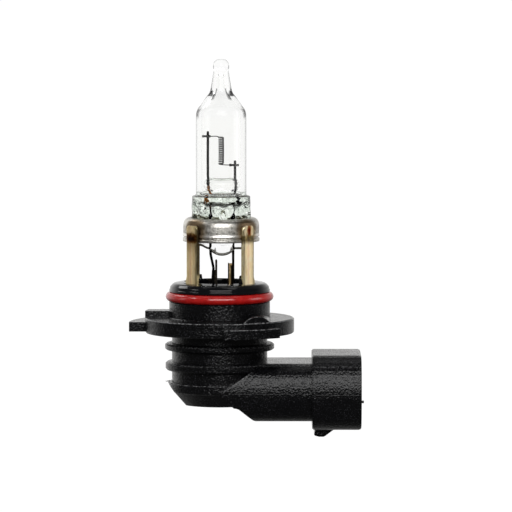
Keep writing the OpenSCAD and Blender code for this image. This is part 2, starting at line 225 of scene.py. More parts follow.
class Mat:
    def __init__(self, name, base=(.5, .5, .5), rough=.5, metal=0.0, ior=1.5, trans=0.0, coat=0.0, coat_rough=.05,
                 spec=None, aniso=None):
        self.m = bpy.data.materials.new(name)
        self.m.use_nodes = True
        self.nt = self.m.node_tree
        self.b = self.nt.nodes["Principled BSDF"]
        i = self.b.inputs
        i["Base Color"].default_value = (*base, 1)
        i["Roughness"].default_value = rough
        i["Metallic"].default_value = metal
        i["IOR"].default_value = ior
        i["Transmission Weight"].default_value = trans
        i["Coat Weight"].default_value = coat
        i["Coat Roughness"].default_value = coat_rough
        if spec is not None:
            i["Specular IOR Level"].default_value = spec
        if aniso is not None:
            i["Anisotropic"].default_value = aniso
        self.tc = self.nt.nodes.new("ShaderNodeTexCoord")
        self.co = self.tc.outputs["Object"]

    def put(self, sock, value):
        if isinstance(value, bpy.types.NodeSocket):
            self.nt.links.new(value, sock)
        else:
            sock.default_value = value

    def scaled(self, sx, sy, sz, src=None):
        n = self.nt.nodes.new("ShaderNodeVectorMath")
        n.operation = "MULTIPLY"
        self.put(n.inputs[0], src or self.co)
        n.inputs[1].default_value = (sx, sy, sz)
        return n.outputs[0]

    def noise(self, scale, detail=3, rough=.55, vec=None, dist=0.0, lac=2.0):
        n = self.nt.nodes.new("ShaderNodeTexNoise")
        n.inputs["Scale"].default_value = scale
        n.inputs["Detail"].default_value = detail
        n.inputs["Roughness"].default_value = rough
        n.inputs["Distortion"].default_value = dist
        n.inputs["Lacunarity"].default_value = lac
        self.put(n.inputs["Vector"], vec or self.co)
        return n.outputs["Fac"]

    def voronoi(self, scale, vec=None, feature="F1", out="Distance", rand=1.0):
        n = self.nt.nodes.new("ShaderNodeTexVoronoi")
        n.feature = feature
        n.inputs["Scale"].default_value = scale
        n.inputs["Randomness"].default_value = rand
        self.put(n.inputs["Vector"], vec or self.co)
        return n.outputs[out]

    def ramp(self, fac, stops, smooth=False):
        n = self.nt.nodes.new("ShaderNodeValToRGB")
        e = n.color_ramp.elements
        while len(e) > 1:
            e.remove(e[-1])
        for k, (pos, col) in enumerate(stops):
            if isinstance(col, (int, float)):
                col = (col, col, col)
            el = e[0] if k == 0 else e.new(pos)
            el.position = pos
            el.color = (*col, 1)
        if smooth:
            n.color_ramp.interpolation = "EASE"
        self.put(n.inputs[0], fac)
        return n.outputs[0]

    def range(self, v, a, b, c=0.0, d=1.0, smooth=True):
        n = self.nt.nodes.new("ShaderNodeMapRange")
        n.interpolation_type = "SMOOTHSTEP" if smooth else "LINEAR"
        n.clamp = True
        self.put(n.inputs["Value"], v)
        n.inputs["From Min"].default_value = a
        n.inputs["From Max"].default_value = b
        n.inputs["To Min"].default_value = c
        n.inputs["To Max"].default_value = d
        return n.outputs[0]

    def math(self, op, a, b=0.0, clamp=False):
        n = self.nt.nodes.new("ShaderNodeMath")
        n.operation = op
        n.use_clamp = clamp
        self.put(n.inputs[0], a)
        self.put(n.inputs[1], b)
        return n.outputs[0]

    def xyz(self, src=None):
        n = self.nt.nodes.new("ShaderNodeSeparateXYZ")
        self.put(n.inputs[0], src or self.co)
        return n.outputs

    def dist(self, p_mm, scale=(1, 1, 1)):
        """Distance in mm from a point, with each axis weighted."""
        s = self.nt.nodes.new("ShaderNodeVectorMath")
        s.operation = "SUBTRACT"
        self.put(s.inputs[0], self.co)
        s.inputs[1].default_value = tuple(c * MM for c in p_mm)
        k = self.nt.nodes.new("ShaderNodeVectorMath")
        k.operation = "MULTIPLY"
        self.put(k.inputs[0], s.outputs[0])
        k.inputs[1].default_value = tuple(1000 * c for c in scale)
        l = self.nt.nodes.new("ShaderNodeVectorMath")
        l.operation = "LENGTH"
        self.put(l.inputs[0], k.outputs[0])
        return l.outputs["Value"]

    def mix(self, fac, a, b, mode="MIX"):
        n = self.nt.nodes.new("ShaderNodeMix")
        n.data_type = "RGBA"
        n.blend_type = mode
        self.put(n.inputs[0], fac)
        for s, v in ((n.inputs[6], a), (n.inputs[7], b)):
            self.put(s, (*v, 1) if isinstance(v, tuple) else v)
        return n.outputs[2]

    def bump(self, height, strength, dist_mm, normal=None):
        n = self.nt.nodes.new("ShaderNodeBump")
        n.inputs["Strength"].default_value = strength
        n.inputs["Distance"].default_value = dist_mm * MM
        self.put(n.inputs["Height"], height)
        if normal is not None:
            self.put(n.inputs["Normal"], normal)
        self.put(self.b.inputs["Normal"], n.outputs[0])
        return n.outputs[0]

    def color(self, v):
        self.put(self.b.inputs["Base Color"], v)

    def rough(self, v):
        self.put(self.b.inputs["Roughness"], v)


# ---------------------------------------------------------------- materials

def facing(g):
    n = g.nt.nodes.new("ShaderNodeLayerWeight")
    n.inputs["Blend"].default_value = .5
    return n.outputs["Facing"]


def glass_material(name, tint_low=None, inner=False):
    """Clear hard glass. Its base colour is painted darker towards its edges: painted shade standing in for dark
    surroundings seen through the glass.
    """
    g = Mat(name, base=(1, 1, 1), rough=0.0, ior=1.44, trans=1.0, spec=.10)
    g.b.inputs["Specular Tint"].default_value = (.45, .45, .45, 1)
    z = g.xyz()[2]
    f = facing(g)
    if inner:
        # the bore's edges are painted a little darker, and the narrow throat under the bead is painted nearly black
        # (painted shade)
        soft = g.ramp(f, [(0, (.961, .963, .955)), (.72, (.955, .958, .949)), (.90, (.78, .79, .78)), (1, (.55, .56, .55))])
        throat_painted_black = g.ramp(f, [(0, .95), (.34, .92), (.44, .15), (.56, .005), (1, .003)])
        zone = g.math("MULTIPLY", g.range(z, .0408, .0412), g.range(z, .0433, .0430))
        g.color(g.mix(zone, soft, throat_painted_black))
        g.bump(g.noise(260, 2, .5, g.scaled(1, 1, .3)), .08, .04)
        return g.m
    # painted shade: the base colour darkens as the surface turns edge-on
    tint_and_painted_edges = g.ramp(f, [(0, (.960, .962, .953)), (.58, (.944, .947, .937)), (.70, (.66, .67, .66)), (.80, (.30, .31, .30)),
                     (.92, (.07, .075, .07)), (1, (.03, .03, .03))])
    if tint_low:
        # the painted dark edges are kept off the blown cone; the stem's root, the bead's neck and the turn below the
        # cone are painted near-black at their edges (painted shade)
        cone = g.math("MULTIPLY", g.range(z, .0388, .0394), g.range(z, .0420, .0415))
        tint_and_painted_edges = g.mix(g.math("MULTIPLY", cone, .92), tint_and_painted_edges, (.966, .968, .961))
        root_painted_black = g.ramp(f, [(0, .95), (.26, .92), (.33, .20), (.42, .005), (1, .003)])
        root = g.math("MULTIPLY", g.range(z, .04160, .0419), g.range(z, .0429, .0426))
        tint_and_painted_edges = g.mix(root, tint_and_painted_edges, root_painted_black)
        neck_painted_black = g.ramp(f, [(0, .95), (.54, .92), (.62, .10), (.75, .01), (1, .005)])
        neck = g.math("MULTIPLY", g.range(z, .0467, .0470), g.range(z, .0477, .0474))
        tint_and_painted_edges = g.mix(neck, tint_and_painted_edges, neck_painted_black)
        turn = g.ramp(f, [(0, .95), (.48, .92), (.57, .22), (.67, .01), (1, .004)])
        corner = g.math("MULTIPLY", g.range(z, .0372, .0382), g.range(z, .0396, .0392))
        tint_and_painted_edges = g.mix(corner, tint_and_painted_edges, turn)
        # the press seal shows the glass's green, and its edges are painted dark (painted shade)
        seal = g.math("MULTIPLY", g.range(z, .0238, .0228), g.range(z, .0148, .0158))
        streak = g.noise(900, 3, .6, g.scaled(1, 1, .5))
        low = g.ramp(streak, [(.34, tuple(c * .45 for c in tint_low)), (.47, tint_low), (.60, tuple(min(1, c * 1.36) for c in tint_low))])
        seal_painted_edges = g.ramp(f, [(0, 1.0), (.24, .94), (.40, .55), (.50, .12), (.62, .01), (1, .004)])
        # on the slab's rounded sides the painted dark edges start only close to their outline
        side_painted_edges = g.ramp(f, [(0, .98), (.50, .88), (.64, .45), (.76, .08), (.86, .01), (1, .004)])
        ends = g.range(g.math("ABSOLUTE", g.math("SUBTRACT", g.xyz()[0], BX * MM)), .0038, .0046)
        seal_painted_edges = g.mix(ends, seal_painted_edges, side_painted_edges)
        tint_and_painted_edges = g.mix(seal, tint_and_painted_edges, g.mix(1.0, low, seal_painted_edges, "MULTIPLY"))
        # the foot's edges are painted dark too (painted shade)
        foot = g.math("MULTIPLY", g.range(z, .0149, .0147), g.range(z, .0112, .0114))
        tint_and_painted_edges = g.mix(foot, tint_and_painted_edges, g.ramp(f, [(0, .95), (.34, .93), (.50, .30), (.66, .03), (1, .005)]))
    g.color(tint_and_painted_edges)
    n1 = g.noise(220, 2, .5, g.scaled(1, 1, .3))
    n1b = g.bump(n1, .10, .05)
    n2 = g.noise(1300, 2, .6)
    g.bump(n2, .05, .02, n1b)
    return g.m


M_GLASS = glass_material("clear_glass", (.70, .77, .69))
M_GLASS_IN = glass_material("clear_glass_bore", inner=True)
M_BRIDGE = glass_material("bridge_glass")

g = Mat("tungsten", base=(.1, .1, .1), rough=.5, metal=.15, spec=.12)
n = g.noise(9000, 3, .6)
g.color(g.ramp(n, [(.25, (.010, .010, .0105)), (.75, (.055, .055, .056))]))
g.rough(g.range(n, .2, .8, .34, .5))
g.bump(g.noise(14000, 2, .5), .4, .01)
M_TUNGSTEN = g.m


def lead_material(name, brown):
    g = Mat(name, base=(.004, .004, .004), rough=.6, metal=0.0, spec=.0)
    z = g.xyz()[2]
    grain = g.noise(5200, 4, .6, g.scaled(1, 1, .25))
    dark = g.ramp(grain, [(.3, (.0012, .0012, .0012)), (.7, (.006, .0055, .005))])
    if brown:
        # oxidised stretch where the wire enters the press seal
        oxide = g.ramp(g.noise(2600, 3, .6), [(.3, (.10, .030, .006)), (.55, (.42, .17, .05)), (.8, (.16, .06, .02))])
        f = g.math("MULTIPLY", g.range(z, .0214, .0226), g.range(z, .0251, .0243))
        dark = g.mix(f, dark, oxide)
    g.color(dark)
    g.rough(g.range(grain, .2, .8, .4, .6))
    g.bump(grain, .45, .015)
    return g.m


M_LEAD_L = lead_material("lead_wire_oxidised", True)
M_LEAD_R = lead_material("lead_wire_dark", False)

g = Mat("clamp_metal", base=(.05, .05, .05), rough=.45, metal=.0, spec=.08)
n = g.noise(5200, 4, .6)
g.color(g.ramp(n, [(.3, (.006, .006, .006)), (.55, (.020, .019, .018)), (.8, (.12, .11, .10))]))
g.rough(g.range(n, .2, .8, .3, .5))
g.bump(n, .5, .02)
M_CLAMP = g.m

# collar: drawn steel with a grained band and heat colours near the welds, plus a painted highlight line above the
# crease and painted dark reflection on the shoulders
g = Mat("collar_steel", base=(.6, .58, .54), rough=.3, metal=1.0)
x, y, z = g.xyz()
grain = g.noise(2300, 4, .62, g.scaled(1, 1, .8))
pits = g.voronoi(1900)
band = g.math("MULTIPLY", g.range(z, .0159, .0162), g.range(z, .0178, .0173))
line = g.math("MULTIPLY", g.range(z, .0153, .0155), g.range(z, .0161, .0159))
steel = g.ramp(grain, [(.32, (.40, .38, .335)), (.5, (.68, .66, .61)), (.72, (.86, .84, .80))])
dirty = g.mix(g.range(pits, .0, .45), (.20, .185, .15), (1, 1, 1))
steel = g.mix(band, steel, g.mix(.7, steel, dirty, "MULTIPLY"))
# painted highlight: a pale line just above the crease
steel = g.mix(g.math("MULTIPLY", line, .75), steel, (.97, .95, .91))
for a in (45, 135, 225, 315):
    p = (BX + 7.15 * cos(math.radians(a)), 7.15 * sin(math.radians(a)), 16.6)
    d = g.dist(p)
    ring = g.ramp(g.math("ADD", g.math("MULTIPLY", d, .178), g.math("MULTIPLY", g.noise(1200, 3), .08)),
                  [(.0, (.12, .05, .02)), (.30, (.22, .12, .055)), (.40, (.62, .45, .27)), (.50, (.93, .86, .76)), (.60, (1, 1, 1))])
    steel = g.mix(.9, steel, ring, "MULTIPLY")
    # painted dark reflection on the shoulder beside the weld, in a brown tone
    shoulder_painted_dark = g.math("MULTIPLY", g.math("MULTIPLY", g.range(z, .0166, .0173), g.range(z, .0187, .0183)), g.range(d, 3.3, 2.2))
    steel = g.mix(g.math("MULTIPLY", shoulder_painted_dark, .75), steel, (.15, .105, .06))
g.color(steel)
g.rough(g.math("ADD", g.range(grain, .2, .8, .28, .42), g.math("MULTIPLY", band, .10)))
low = g.bump(g.noise(520, 3, .55), .18, .08)
g.bump(g.math("ADD", grain, g.math("MULTIPLY", g.math("MULTIPLY", pits, band), 1.2)), .5, .045, low)
M_COLLAR = g.m

g = Mat("clip_steel", base=(.62, .58, .5), rough=.34, metal=1.0)
n = g.noise(2600, 4, .6)
g.color(g.ramp(n, [(.3, (.42, .37, .30)), (.7, (.74, .70, .62))]))
g.rough(g.range(n, .2, .8, .26, .44))
g.bump(n, .35, .03)
M_CLIP = g.m


def leg_material(name, az, kind):
    """Yellowish plated strip, heat-tinted round its weld, with painted shade along its edges. az is its place round the
    cap.
    """
    g = Mat(name, base=(.8, .68, .48), rough=.36, metal=1.0)
    x, y, z = g.xyz()
    ca, sa = cos(math.radians(az)), sin(math.radians(az))
    # distance across the strip, in mm
    u = g.math("ADD", g.math("MULTIPLY", x, -1000 * sa), g.math("MULTIPLY", y, 1000 * ca))
    fine = g.noise(3000, 4, .6, g.scaled(1, 1, .18))
    blot = g.noise(620, 3, .6)
    tan = g.ramp(fine, [(.28, (.64, .47, .23)), (.5, (.88, .71, .43)), (.75, (.96, .83, .58))])
    # the plating is thinner along the middle, where it shows pinkish
    mid = g.math("MULTIPLY", g.range(g.math("ABSOLUTE", g.math("ADD", u, .1)), .05, .42, 1, 0), .55)
    tan = g.mix(mid, tan, (.62, .38, .27))
    # painted shade: olive darkening towards the rolled edges
    edge = g.range(g.math("ABSOLUTE", u), 1.0, 1.36)
    tan = g.mix(g.math("MULTIPLY", edge, .55), tan, (.36, .33, .17))
    tan = g.mix(g.range(blot, .45, .7, 0, .35), tan, (.74, .72, .52))
    wx, wy = .15 + 7.6 * ca, 7.6 * sa
    if kind == "burnt":
        d = g.dist((wx, wy, 15.35), (.45, .45, .95))
        wobble = g.math("MULTIPLY", g.noise(1700, 4, .7), 1.2)
        t = g.math("MULTIPLY", g.math("ADD", d, wobble), .4)
        scorch = g.ramp(t, [(.0, (.02, .009, .004)), (.34, (.035, .014, .006)), (.42, (.12, .05, .018)),
                            (.50, (.22, .11, .04)), (.58, (.55, .42, .26)), (.66, (1, 1, 1))])
        tail = g.math("MULTIPLY", g.range(z, .0116, .0146), g.range(z, .0168, .0160))
        tan = g.mix(g.math("MULTIPLY", tail, .6), tan, (.26, .18, .09))
        tan = g.mix(1.0, tan, scorch, "MULTIPLY")
        tan = g.mix(1.0, tan, (1, .96, .86), "MULTIPLY")
    else:
        d = g.dist((wx, wy, 16.8), (1.35, 1.35, .55))
        wobble = g.math("MULTIPLY", g.noise(1500, 4, .6), .6)
        t = g.math("MULTIPLY", g.math("ADD", d, wobble), .5)
        mark = g.ramp(t, [(.0, (.05, .008, .006)), (.30, (.18, .022, .012)), (.44, (.55, .30, .16)), (.60, (1, 1, 1))])
        tan = g.mix(1.0, tan, mark, "MULTIPLY")
        tail = g.math("MULTIPLY", g.range(z, .0140, .0150), g.range(z, .0162, .0156))
        olive = g.ramp(g.noise(1300, 3, .6), [(.35, (.035, .022, .004)), (.55, (.12, .08, .018)), (.72, (.34, .24, .09))])
        tan = g.mix(g.math("MULTIPLY", tail, .9), tan, olive)
    # painted shade: a near-black line along the strip's outer edges above the foot
    cut = g.range(g.math("ABSOLUTE", u), 1.40, 1.47)
    low_wide = g.range(z, .0088, .0080)
    tan = g.mix(g.math("MULTIPLY", g.math("SUBTRACT", cut, low_wide, True), .92), tan, (.035, .026, .014))
    g.color(tan)
    g.rough(g.math("ADD", g.range(fine, .2, .8, .28, .42), g.range(d, 1.6, .4, 0, .2)))
    low = g.bump(blot, .16, .08)
    g.bump(fine, .35, .03, low)
    return g.m


LEGS = {"support_leg_front_left": (225, "burnt"), "support_leg_front_right": (315, "marked"),
        "support_leg_rear_left": (135, "marked"), "support_leg_rear_right": (45, "burnt")}
M_LEG = {k: leg_material("leg_plating_" + k[12:], a, s) for k, (a, s) in LEGS.items()}

g = Mat("gloss_black_plastic", base=(.0045, .005, .007), rough=.14, ior=1.5)
swirl = g.noise(260, 3, .6, dist=1.2)
g.color(g.ramp(swirl, [(.3, (.0020, .0023, .0034)), (.7, (.005, .0056, .008))]))
fine = g.noise(2400, 3, .6)
g.rough(g.math("ADD", g.range(swirl, .3, .7, .05, .13), g.range(fine, .55, .8, 0, .08)))
low = g.bump(swirl, .22, .12)
g.bump(fine, .14, .03, low)
M_GLOSS = g.m

g = Mat("potting_resin", base=(.008, .008, .008), rough=.7, ior=1.4, spec=.2)
n = g.noise(700, 4, .6, dist=.8)
g.color(g.ramp(n, [(.3, (.002, .002, .002)), (.7, (.008, .0075, .007))]))
g.rough(g.range(n, .3, .7, .45, .75))
g.bump(n, .5, .15)
M_POTTING = g.m

g = Mat("red_rubber", base=(.5, .012, .01), rough=.36, ior=1.5, spec=.85)
x, y, z = g.xyz()
n = g.noise(900, 4, .6)
red = g.ramp(n, [(.25, (.42, .004, .004)), (.5, (.62, .009, .008)), (.8, (.74, .022, .016))])
specks = g.range(g.noise(6200, 2, .5), .70, .78)
red = g.mix(g.math("MULTIPLY", specks, .35), red, (.75, .32, .26))
g.color(red)
g.rough(g.range(g.noise(1900, 4, .6), .25, .75, .13, .26))
low = g.bump(g.noise(420, 3, .5), .2, .1)
g.bump(g.noise(3600, 3, .6), .14, .03, low)
M_RED = g.m

# body plastic: coarse spark-eroded mould texture, with painted highlights along its edges
g = Mat("textured_black_plastic", base=(.004, .004, .0044), rough=.3, ior=1.5, spec=.32)
coarse = g.voronoi(3300, feature="SMOOTH_F1")
cells = g.noise(2700, 4, .70)
fine = g.noise(8000, 2, .6)
big = g.noise(180, 3, .6)
tone = g.ramp(cells, [(.3, (.0016, .0016, .0019)), (.7, (.0050, .0050, .0058))])
x, y, z = g.xyz()
mul = lambda *v: v[0] if len(v) == 1 else g.math("MULTIPLY", v[0], mul(*v[1:]))
r = g.dist((0, 0, 0), (1, 1, 0))
key = g.dist((7.05, 0, -1.8), (1, 0, 1))
mitre = g.math("ABSOLUTE", g.math("ADD", g.math("ADD", mul(x, -573.0), mul(z, 819.0)), 11.22))
# painted highlights: pale lines on the flange rim, lug tops, ledge, ribs, key crest and mitre
painted_edge_glints = [mul(g.range(r, 13.86, 13.97), g.range(z, -.00024, -.00012), g.range(z, .00008, .00002), .8),
          mul(g.range(r, 16.86, 16.98), g.range(z, -.00112, -.00100), .75),
          mul(g.range(r, 9.5, 9.56), g.range(z, -.01228, -.01222), g.range(z, -.0120, -.01206), g.range(x, .003, .001), .45),
          mul(g.range(r, 10.0, 10.1), g.range(z, -.0052, -.0050), g.range(z, -.0048, -.0049), .2),
          mul(g.range(r, 9.9, 10.0), g.range(z, -.0087, -.0085), g.range(z, -.0083, -.0084), .2),
          mul(g.range(key, 2.82, 2.93), g.range(key, 3.1, 3.05), g.range(x, .0082, .0064), g.range(y, -.0108, -.0116), g.range(z, -.0003, .0001)),
          mul(g.range(mitre, .34, .04), g.range(y, -.0084, -.0089), g.range(x, .0002, .0010), g.range(x, .0078, .0060), .35)]
painted_glints = painted_edge_glints[0]
for k in painted_edge_glints[1:]:
    painted_glints = g.math("MAXIMUM", painted_glints, k)
painted_glints = mul(painted_glints, g.range(g.noise(2600, 3, .7), .42, .60, .05, 1))
specks = mul(g.range(g.noise(5200, 1, .5), .58, .70), g.range(big, .35, .65, .35, 1))
tone = g.mix(specks, tone, (.045, .045, .052))
g.color(g.mix(painted_glints, tone, (.42, .42, .43)))
h = g.math("ADD", g.math("MULTIPLY", coarse, .35), g.noise(2900, 1, .5))
h = g.math("ADD", h, g.math("MULTIPLY", fine, .04))
g.rough(g.math("ADD", g.range(cells, .3, .7, .12, .22), g.range(big, .3, .7, -.02, .04)))
low = g.bump(big, .12, .12)
g.bump(h, .95, .10, low)
M_BODY = g.m

# painted highlight: pale grey spots along the raised seam
g = Mat("parting_line_plastic", base=(.05, .05, .052), rough=.25, ior=1.5)
n = g.noise(1500, 3, .7)
g.color(g.ramp(n, [(.42, (.004, .004, .005)), (.58, (.07, .07, .073)), (.70, (.42, .42, .43))]))
g.rough(g.range(n, .3, .7, .2, .4))
M_SEAM = g.m

g = Mat("terminal_dark", base=(.2, .17, .12), rough=.4, metal=.9)
n = g.noise(2800, 4, .6)
g.color(g.ramp(n, [(.3, (.006, .005, .004)), (.55, (.022, .018, .013)), (.8, (.12, .10, .07))]))
g.rough(g.range(n, .2, .8, .32, .55))
g.bump(n, .4, .03)
M_TERM_D = g.m

g = Mat("terminal_brass", base=(.7, .5, .25), rough=.32, metal=1.0)
x, y, z = g.xyz()
n = g.noise(2800, 4, .6)
br = g.ramp(n, [(.3, (.50, .33, .15)), (.55, (.86, .64, .33)), (.8, (1, .86, .58))])
# the folded flanges' edges are darkened on the front side
side = g.range(g.math("ABSOLUTE", g.math("SUBTRACT", x, .00194)), .00011, .00014)
front = g.range(y, .0002, .0000)
br = g.mix(g.math("MULTIPLY", g.math("MULTIPLY", side, front), g.range(z, .002, .004)), br, (.022, .014, .008))
g.color(br)
g.rough(g.range(n, .2, .8, .24, .45))
g.bump(n, .3, .03)
M_TERM_B = g.m


# ---------------------------------------------------------------- glass envelope

def stadium(theta, half, e):
    """Point on a slab's rounded outline, by the angle of the circle it was pressed from."""
    c, s = cos(theta), sin(theta)
    L = half - e
    k = .66
    if abs(c) < k:
        return L * c / k, math.copysign(e, s)
    t0 = math.acos(k)
    a = math.acos(min(1, abs(c)))
    phi = pi / 2 * a / t0
    return math.copysign(L + e * cos(phi), c), math.copysign(e * sin(phi), s)


def relief(x, z):
    """Tool marks pressed into the seal's flats, in mm, negative into the glass."""
    d = 0.0
    for cx, cz, w, h, a, k in ((-.75, 20.3, .72, .90, -.42, 2), (1.55, 20.3, .72, .90, -.42, 2), (-3.5, 20.6, .80, 1.0, -.45, 2),
                               (3.75, 20.3, .62, .80, -.36, 2), (.40, 21.75, 2.3, .30, .38, 1), (.40, 19.5, .60, .80, .30, 2),
                               (-2.6, 21.7, .5, .4, .26, 1), (3.3, 21.7, .5, .4, .26, 1), (-4.4, 21.5, .5, .6, -.2, 1), (4.9, 21.2, .5, .6, -.2, 1)):
        q = ((x - cx) / w) ** 2 + ((z - cz) / h) ** 2
        d += a * math.exp(-min(q, 30) ** k)
    d += .14 * math.exp(-((z - 22.15) / .2) ** 2)
    d += .07 * sin(x * 3.1 + z * 1.7) * math.exp(-((z - 20.3) / 1.6) ** 2)
    d *= 1.5
    d += .10 * (1 - 2 * abs(noise.noise(Vector((x * 1.2, z * 1.5, 3.3))))) * math.exp(-((x - .4) / 5.5) ** 4)
    return d


def glass_outer():
    n = 224
    upper = [(0, 48.7), (.5, 48.7), (.85, 48.6), (1.3, 48.2), (1.5, 47.7), (1.53, 47.1), (1.44, 46.7), (1.42, 46.3),
             (1.92, 43.3), (2.1, 42.6), (2.3, 42.2), (2.65, 41.8), (3.95, 39.9), (4.35, 39.45), (4.62, 38.9),
             (4.75, 38.2), (4.75, 36), (4.75, 30), (4.75, 25), (4.75, 23.9)]
    upper = chaikin(upper, 2)
    rings = []
    for r, z in upper:
        if r < 1e-6:
            rings.append([(0, 0, z)])
        else:
            rings.append([(r * cos(2 * pi * i / n), r * sin(2 * pi * i / n), z) for i in range(n)])
    # foot of the tube swells, then is pressed flat
    e = 2.2
    steps = 84
    for j in range(1, steps + 1):
        t = j / steps
        z = lerp(23.9, 13.5, t ** 1.35)
        R = 4.75 + .74 * sstep(23.28, 22.88, z)
        b = sstep(22.7, 20.4, z)
        ring = []
        for i in range(n):
            th = 2 * pi * i / n
            cx, cy = R * cos(th), R * sin(th)
            sx, sy = stadium(th, 5.55, e)
            x, y = lerp(cx, sx, b), lerp(cy, sy, b)
            w = sstep(22.8, 22.3, z) * sstep(17.4, 18.4, z)
            if w > 0 and abs(sy) > .4:
                y += math.copysign(relief(x, z) * w * min(1, abs(sy) / e), sy)
            if z < 15.2 and abs(sy) > .4:
                # two drawn arcs inside the foot's lobe
                q = math.hypot(x - .35, z - 14.95)
                y += math.copysign(sum(a * math.exp(-((q - k) / .19) ** 2) for k, a in ((1.72, .15), (1.0, .12)))
                                   * sstep(15.2, 14.7, z) * min(1, abs(sy) / e), sy)
            # the slab's sides are a little uneven where the jaws met
            x += .05 * sin(z * 2.3 + (1 if sx > 0 else 0)) * b * abs(cos(th))
            zz = z - foot_drop(x, y) * sstep(15.5, 13.5, z)
            ring.append((x, y, zz))
        rings.append(ring)
    # foot: rounded over, closing on the slab's middle line
    L = 5.55 - e
    for s in (.12, .28, .48, .70, .88, 1.0):
        ring = []
        for i in range(n):
            th = 2 * pi * i / n
            sx, sy = stadium(th, 5.55, e)
            mx = max(-L, min(L, sx))
            x, y = lerp(sx, mx, s), lerp(sy, 0, s)
            zz = 13.5 - .62 * math.sqrt(max(0, 1 - (1 - s) ** 2)) - foot_drop(x, y)
            ring.append((x, y, zz))
        rings.append(ring)
    return rings, n


def foot_drop(x, y):
    """How far the foot of the seal hangs below its edge: a wide rounded lobe in the middle."""
    dx = x - .15
    lobe = max(0.0, math.sqrt(max(0.0, 2.95 ** 2 - dx * dx)) - 1.72)
    lobe = lobe * sstep(2.2, 1.75, abs(y))
    left = -.62 * sstep(-2.3, -4.0, x)
    return lobe + left


def loft(rings, n, dx=0.0):
    verts, idx, faces = [], [], []
    for r in rings:
        if len(r) == 1:
            idx.append([len(verts)] * n)
            verts.append((r[0][0] + dx, r[0][1], r[0][2]))
        else:
            idx.append(list(range(len(verts), len(verts) + n)))
            verts += [(p[0] + dx, p[1], p[2]) for p in r]
    for a, b in zip(idx, idx[1:]):
        for i in range(n):
            k = (i + 1) % n
            q = []
            for v in (a[i], a[k], b[k], b[i]):
                if v not in q:
                    q.append(v)
            if len(q) > 2:
                faces.append(q)
    return verts, faces


def glass_envelope():
    rings, n = glass_outer()
    outer = loft(rings, n, BX)
    inner_prof = chaikin([(0, 45.85), (.5, 45.8), (.85, 45.3), (.9, 43.1), (1.1, 42.4), (1.95, 41.2), (3.3, 39.5),
                          (3.62, 39.0), (3.7, 38.4), (3.7, 34), (3.7, 28), (3.7, 24.2), (3.62, 23.5), (3.25, 23.05),
                          (2.2, 22.9), (1.0, 23.02), (0, 22.85)], 2)
    inner = lathe(inner_prof, 192, BX, closed=False)
    verts, faces = outer
    me = bpy.data.meshes.new("glass_envelope")
    bm = bmesh.new()
    parts = []
    for v, f, flip in ((outer[0], outer[1], False), (inner[0], inner[1], True)):
        vs = [bm.verts.new((x * MM, y * MM, z * MM)) for x, y, z in v]
        fs = []
        for q in f:
            fs.append(bm.faces.new([vs[i] for i in q]))
        parts.append((vs, fs, flip))
    bm.normal_update()
    for vs, fs, flip in parts:
        bmesh.ops.recalc_face_normals(bm, faces=fs)
        if flip:
            bmesh.ops.reverse_faces(bm, faces=fs)
    for fc in parts[1][1]:
        fc.material_index = 1
    bmesh.ops.remove_doubles(bm, verts=parts[0][0], dist=1e-6)
    bmesh.ops.dissolve_degenerate(bm, edges=bm.edges, dist=1e-7)
    bm.to_mesh(me)
    bm.free()
    mi = [p.material_index for p in me.polygons]
    ob = finish_obj("glass_envelope_blown", me, M_GLASS, ("glass_envelope",), angle=80)
    me.materials.append(M_GLASS_IN)
    me.polygons.foreach_set("material_index", mi)
    return ob


glass_envelope()

# ---------------------------------------------------------------- bridge

def bridge():
    """Glass bead-bar, thicker where it grips the wires."""
    n, m = 96, 72
    x0, x1, r = -1.65, 2.45, 1.36
    rings = []
    for j in range(m + 1):
        t = j / m
        a = pi * t
        x = (x0 + x1) / 2 - cos(a) * ((x1 - x0) / 2 + r)
        if x < x0:
            rr = math.sqrt(max(0, r * r - (x - x0) ** 2))
        elif x > x1:
            rr = math.sqrt(max(0, r * r - (x - x1) ** 2))
        else:
            rr = r - .10 * math.exp(-((x - (x0 + x1) / 2) / 1.1) ** 2)
        if j in (0, m):
            rings.append([(x, 0, 25)])
        else:
            ring = []
            for i in range(n):
                a2 = 2 * pi * i / n
                yy, zz = rr * .96 * cos(a2), rr * sin(a2)
                near = math.exp(-((x + 2.0) / .55) ** 2) + math.exp(-((x - 2.93) / .55) ** 2)
                yy *= 1 - .16 * near * (.5 + .5 * cos(zz * 2 * pi / .78))
                ring.append((x, yy, 25 + zz))
            rings.append(ring)
    return loft(rings, n)


build("bridge_bead", bridge(), M_BRIDGE, ("glass_bridge",), angle=80)

# ---------------------------------------------------------------- filament and leads

def coil():
    turns, per = 14, 28
    z0, z1, r, w = 28.95 + .1, 34.1 - .1, .42, .1
    pts = []
    for i in range(turns * per + 1):
        a = pi + 2 * pi * i / per
        k, f = divmod(i / per, 1.0)
        sag = .03 * sin(pi * i / (turns * per))
        # each turn is wound nearly level and steps up on its right-hand side
        rise = lerp(f, sstep(.28, .72, f), .8)
        pts.append((BX + r * cos(a) + sag, r * sin(a), lerp(z0, z1, (k + rise) / turns)))
    low = smooth_path([(3.62, -.47, 28.8), (2.6, -.47, 28.78), (1.5, -.47, 28.82), (.75, -.55, 28.86), (.3, -.6, 28.93),
                       (-.02, -.42, 29.0), (BX - r, 0, z0)], 5)
    high = smooth_path([(BX - r, 0, z1), (BX - r - .16, -.18, 34.1), (-.5, -.40, 34.2), (-.9, -.47, 34.22),
                        (-2.0, -.47, 34.2), (-3.25, -.47, 34.22)], 5)
    return [tuple(p) for p in low[:-1]] + pts + [tuple(p) for p in high[1:]]


def coil_wire(i, p):
    """Thick where the fine wire is coiled on itself, thin in the legs."""
    return lerp(.088, .132, sstep(.62, .48, abs(p.x - BX)) * sstep(28.85, 29.0, p.z))


